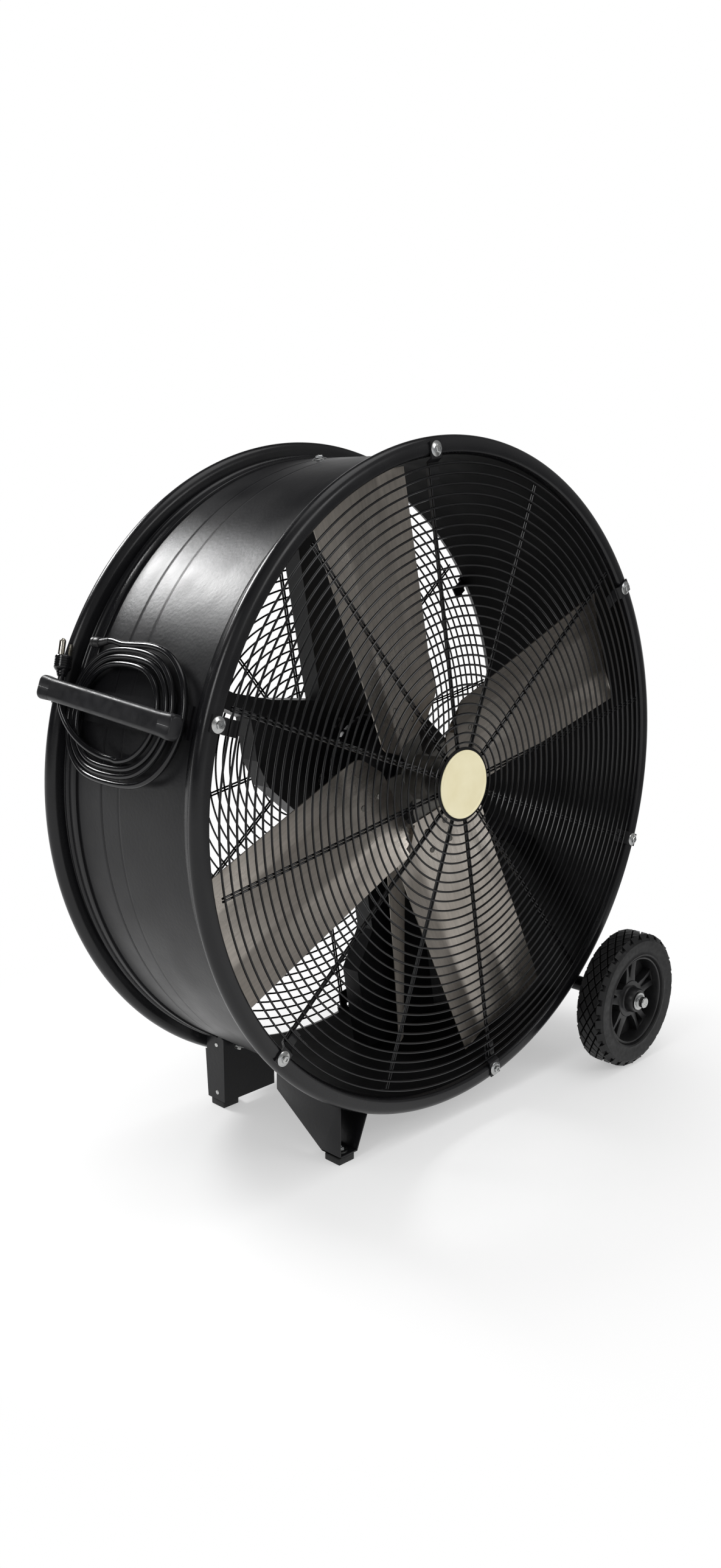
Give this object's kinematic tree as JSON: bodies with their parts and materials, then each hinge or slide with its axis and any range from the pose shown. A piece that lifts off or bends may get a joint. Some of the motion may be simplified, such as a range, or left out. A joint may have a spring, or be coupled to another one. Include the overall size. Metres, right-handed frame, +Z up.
{
  "type": "drum fan",
  "caption": "Large wheeled drum fan with wire grilles, four folded blades on a direct-drive motor, two folded legs, two tyred wheels, a side handle and a power cord looped on it.",
  "frame": {"origin": "on the floor, under the middle of the fan's box without its cord", "axes": "-Y towards the outlet grille that faces the viewer, +X towards the wheels, +Z up; the drum's axis runs along Y"},
  "size_m": [1.1323, 0.6062, 1.143],
  "materials": {
    "shell_paint": "black powder coat with fine orange peel",
    "grille_wire": "black enamelled wire",
    "zinc": "zinc plated",
    "badge_cream": "plain cream plastic",
    "blade_metal": "dull mill finish",
    "motor_paint": "semi-gloss black",
    "machined_steel": "ground steel",
    "core_steel": "laminated steel",
    "tyre_rubber": "matt black rubber",
    "hub_plastic": "moulded black plastic",
    "foot_rubber": "black rubber",
    "handle_plastic": "textured black plastic",
    "cord_jacket": "glossy black jacket",
    "pin_metal": "bright metal"
  },
  "bodies": {
    "frame": {"axle_bracket_bolts": "zinc", "axle_rod": "zinc", "axle_sleeve": "shell_paint", "cord_coil": "cord_jacket", "cord_gland": "hub_plastic", "cord_plug": "cord_jacket", "drum_shell": "shell_paint", "front_axle_bracket": "shell_paint", "front_axle_nut": "zinc", "front_badge": "badge_cream", "front_foot": "foot_rubber", "front_grille_bolts": "zinc", "front_grille_lugs": "grille_wire", "front_grille_rings": "grille_wire", "front_grille_spokes": "grille_wire", "front_hub_plate": "grille_wire", "front_leg": "shell_paint", "front_rim": "shell_paint", "handle_bar": "handle_plastic", "handle_base": "shell_paint", "handle_caps": "handle_plastic", "handle_posts": "handle_plastic", "handle_screws": "zinc", "leg_bolts": "zinc", "motor_bearings": "machined_steel", "motor_front_bell": "motor_paint", "motor_housing": "motor_paint", "motor_mount": "shell_paint", "motor_mount_bolts": "zinc", "motor_rear_bell": "motor_paint", "mount_strut": "blade_metal", "plug_pins": "pin_metal", "rear_axle_bracket": "shell_paint", "rear_axle_nut": "zinc", "rear_foot": "foot_rubber", "rear_grille_bolts": "zinc", "rear_grille_lugs": "grille_wire", "rear_grille_rings": "grille_wire", "rear_grille_spokes": "grille_wire", "rear_hub_plate": "grille_wire", "rear_leg": "shell_paint", "rear_rim": "shell_paint", "seam_bolt": "zinc", "stator_core": "core_steel", "switch_box": "hub_plastic", "terminal_box": "motor_paint"},
    "rotor": {"shaft": "machined_steel", "armature": "core_steel", "blades": "blade_metal", "fan_hub": "blade_metal", "blade_rivets": "zinc"},
    "front_wheel": {"front_tyre": "tyre_rubber", "front_wheel_hub": "hub_plastic"},
    "rear_wheel": {"rear_tyre": "tyre_rubber", "rear_wheel_hub": "hub_plastic"},
    "knob": {"speed_knob": "hub_plastic"}
  },
  "joints": [
    {"name": "fan_spin", "type": "hinge", "parent": "frame", "child": "rotor", "pos_m": [0.0112, 0, 0.588], "axis": [0, 1, 0], "continuous": true},
    {"name": "front_wheel_spin", "type": "hinge", "parent": "frame", "child": "front_wheel", "pos_m": [0.4142, -0.2591, 0.127], "axis": [0, 1, 0], "continuous": true},
    {"name": "rear_wheel_spin", "type": "hinge", "parent": "frame", "child": "rear_wheel", "pos_m": [0.4142, 0.2591, 0.127], "axis": [0, 1, 0], "continuous": true},
    {"name": "knob_turn", "type": "hinge", "parent": "frame", "child": "knob", "pos_m": [0.0112, 0.2256, 0.588], "axis": [0, -1, 0], "range_deg": [0, 90]}
  ]
}
